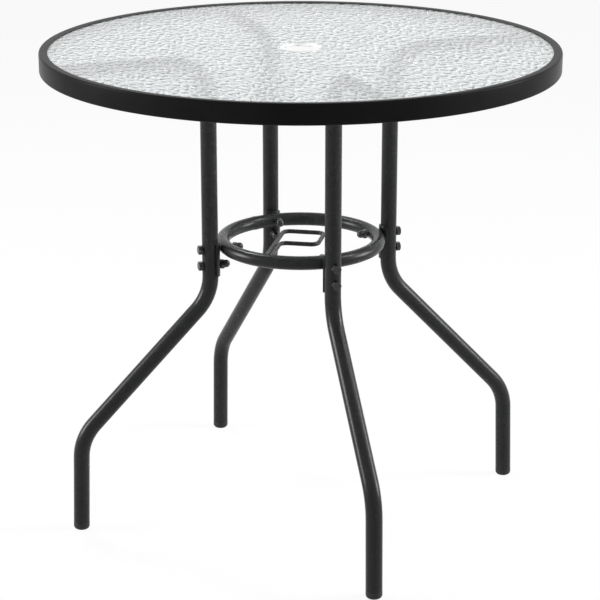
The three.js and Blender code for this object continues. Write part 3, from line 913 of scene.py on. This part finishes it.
shape(saddle)
pick("FACE", lambda at, face: off_middle(at) > SADDLE_HALF)
bpy.ops.mesh.delete(type="FACE")
for column in range(CORNER_COLUMNS):
    column_angle = SADDLE_HALF - column * SADDLE_COLUMN
    from_side = (SADDLE_HALF - column_angle) * SADDLE_INNER
    fall = SADDLE_CORNER - math.sqrt(SADDLE_CORNER ** 2 - (SADDLE_CORNER - from_side) ** 2)
    for height, way in ((SADDLE_HIGH, -1), (SADDLE_LOW, 1)):
        pick("VERT", lambda at, vertex: near(at.z, height)
             and near(off_middle(at), column_angle, ANGLE_SLACK))
        bpy.ops.transform.translate(value=(0, 0, way * fall))
bpy.ops.object.mode_set(mode="OBJECT")
print("saddle faces:", len(saddle.data.polygons))

# %% Thickness, rounded edges and four copies
PLATE_EDGE, EDGE_STEPS, SHARP = 0.5 * MM, 2, math.radians(50)
modify(saddle, "SOLIDIFY", thickness=SADDLE_THICK, offset=1.0)
modify(saddle, "BEVEL", width=PLATE_EDGE, segments=EDGE_STEPS, limit_method="ANGLE",
       angle_limit=SHARP)
smooth(saddle)
for side, degrees in SIDES.items():
    twin = copy_turned(saddle, f"saddle_plate_{side}", degrees)
    fit(twin, "frame_steel", [FRAME_COAT], f"ring_saddle_{side}")
bpy.data.objects.remove(saddle)

# %% [markdown]
# ## Bolts and nuts
# A hexagon head is a slice of hexagon bar whose outer face was turned to a flat cone. It is made in
# that way: a six-sided bar is trimmed to a turned blank, which leaves the curved edges that every
# real bolt head has.

# %% Hexagon with turned ends
BLACK_STEEL = plain_finish("black coated fasteners",
                           tint=(120.0, (0.006, 0.006, 0.0062), (0.012, 0.012, 0.0125)),
                           gloss=(300.0, 0.22, 0.34), relief=(1800.0, 0.012 * MM),
                           settings={"Specular IOR Level": 0.5})
HEX_CORNER, ROUND_BAR = 1 / math.cos(math.radians(30)), 48
CONE_INSET, CONE_RISE = 0.22, 0.12


def bar(name, sides, radius, from_x, to_x, height):
    """A bar along x between two places, with a corner pointing up."""
    deselect()
    bpy.ops.mesh.primitive_cylinder_add(vertices=sides, radius=radius, depth=to_x - from_x,
                                        location=((from_x + to_x) / 2, 0, height),
                                        rotation=(0, QUARTER, 0))
    return start(name)


def turned_cone(piece, at_x, outwards, inset, rise):
    """Turns one end of a bar to a flat cone."""
    shape(piece)
    pick("FACE", lambda at, face: near(at.x, at_x))
    bpy.ops.mesh.inset(thickness=inset)
    bpy.ops.transform.translate(value=(outwards * rise, 0, 0))
    bpy.ops.object.mode_set(mode="OBJECT")


def hexagon(name, flats, from_x, to_x, height, cones):
    """A hexagon between two places, with a cone turned on the ends that are named."""
    corner = flats / 2 * HEX_CORNER
    inset, rise = CONE_INSET * flats / 2, CONE_RISE * flats / 2
    low = from_x + rise if "inner" in cones else from_x
    high = to_x - rise if "outer" in cones else to_x
    blank = bar(name + "_blank", ROUND_BAR, corner, low, high, height)
    if "inner" in cones:
        turned_cone(blank, low, -1, inset, rise)
    if "outer" in cones:
        turned_cone(blank, high, 1, inset, rise)
    piece = bar(name, 6, corner, from_x, to_x, height)
    combine(piece, blank, "INTERSECT")
    return piece


# %% Bolts and dome nuts
BOLT_FLATS, BOLT_HEAD, BOLT_RADIUS = 13 * MM, 6.5 * MM, 4 * MM
BOLT_SIDES, THREAD_LENGTH = 32, 10 * MM
HEAD_GAP = 0.3 * MM
HEAD_SEAT = UPRIGHT + LEG_RADIUS + HEAD_GAP
NUT_LENGTH, NUT_HEX, DOME_RADIUS = 16 * MM, 6.5 * MM, 6.1 * MM
DOME_SHARE, DOME_STEPS = 0.94, 9


def make_bolt(name, height, nut_seat):
    """A hexagon bolt whose head bears on the leg and whose shank reaches into the nut."""
    bolt = hexagon(name, BOLT_FLATS, HEAD_SEAT, HEAD_SEAT + BOLT_HEAD, height, ("outer",))
    shank = bar("shank", BOLT_SIDES, BOLT_RADIUS, nut_seat - THREAD_LENGTH,
                HEAD_SEAT + BOLT_HEAD / 2, height)
    combine(bolt, shank, "UNION")
    smooth(bolt)
    return bolt


def make_nut(name, height, seat):
    """A dome nut: a six-sided foot and a turned dome."""
    nut = hexagon(name, BOLT_FLATS, seat - NUT_HEX, seat, height, ("inner", "outer"))
    dome = bar("dome", ROUND_BAR, DOME_RADIUS, seat - NUT_LENGTH, seat - NUT_HEX / 2, height)
    shape(dome)
    pick("EDGE", lambda at, edge: near(at.x, seat - NUT_LENGTH, 0.01 * MM)
         and len(edge.link_faces) == 2)
    bpy.ops.mesh.bevel(offset=DOME_SHARE * DOME_RADIUS, segments=DOME_STEPS, affect="EDGES")
    close_up()
    combine(nut, dome, "UNION")
    smooth(nut)
    return nut


ROWS = {
    # row: (height, where the nut bears)
    "upper": (451 * MM, 111.65 * MM),
    "lower": (425 * MM, 133.7 * MM),
}
for row, (height, nut_seat) in ROWS.items():
    bolt = make_bolt("bolt_pattern", height, nut_seat)
    nut = make_nut("nut_pattern", height, nut_seat)
    for side, degrees in SIDES.items():
        fit(copy_turned(bolt, f"hexagon_bolt_{row}_{side}", degrees), "black_hardware", [BLACK_STEEL],
            f"{row}_bolt_{side}")
        fit(copy_turned(nut, f"dome_nut_{row}_{side}", degrees), "black_hardware", [BLACK_STEEL],
            f"{row}_nut_{side}")
    bpy.data.objects.remove(bolt)
    bpy.data.objects.remove(nut)

# %% [markdown]
# ## Spigots and arm screws
# Each arm slides over a half-round spigot on the carrier ring, and a short screw from below holds it.
# The spigot is the lower half of a bar's skin, given the thickness of a wall. The screw is drawn lying
# down, like the bolts, and is then stood up under the arm.

# %% Spigots
SPIGOT_RADIUS, SPIGOT_START, SPIGOT_END = 11.1 * MM, 349.77 * MM, 395.77 * MM
SPIGOT_WALL, SPIGOT_EDGE, SPIGOT_SIDES = 2 * MM, 0.3 * MM, 32
spigot = bar("spigot_pattern", SPIGOT_SIDES, SPIGOT_RADIUS, SPIGOT_START, SPIGOT_END, ARM_HEIGHT)
shape(spigot)
pick("FACE", lambda at, face: near(at.x, SPIGOT_START) or near(at.x, SPIGOT_END)
     or at.z > ARM_HEIGHT)
bpy.ops.mesh.delete(type="FACE")
bpy.ops.object.mode_set(mode="OBJECT")
modify(spigot, "SOLIDIFY", thickness=SPIGOT_WALL, offset=-1.0)
modify(spigot, "BEVEL", width=SPIGOT_EDGE, segments=EDGE_STEPS, limit_method="ANGLE",
       angle_limit=SHARP)
smooth(spigot)
print("spigot faces:", len(spigot.data.polygons))

# %% Arm screws
SCREW_REACH, SCREW_LOW, SCREW_TOP = 365.6 * MM, 724.3 * MM, 738.3 * MM
SCREW_FLATS, SCREW_HEAD, SCREW_RADIUS, SCREW_SIDES = 10 * MM, 4 * MM, 3 * MM, 24
screw = hexagon("screw_pattern", SCREW_FLATS, 0, SCREW_HEAD, 0, ("inner",))
shank = bar("shank", SCREW_SIDES, SCREW_RADIUS, SCREW_HEAD / 2, SCREW_TOP - SCREW_LOW, 0)
combine(screw, shank, "UNION")
smooth(screw)
upright = Matrix.Rotation(-QUARTER, 4, "Y")
screw.data.transform(Matrix.Translation((SCREW_REACH, 0, SCREW_LOW)) @ upright)
for side, degrees in SIDES.items():
    fit(copy_turned(spigot, f"arm_spigot_{side}", degrees), "rim_steel", [RIM_COAT],
        f"rim_spigot_{side}")
    fit(copy_turned(screw, f"arm_holding_screw_{side}", degrees), "black_hardware", [BLACK_STEEL],
        f"arm_screw_{side}")
bpy.data.objects.remove(spigot)
bpy.data.objects.remove(screw)
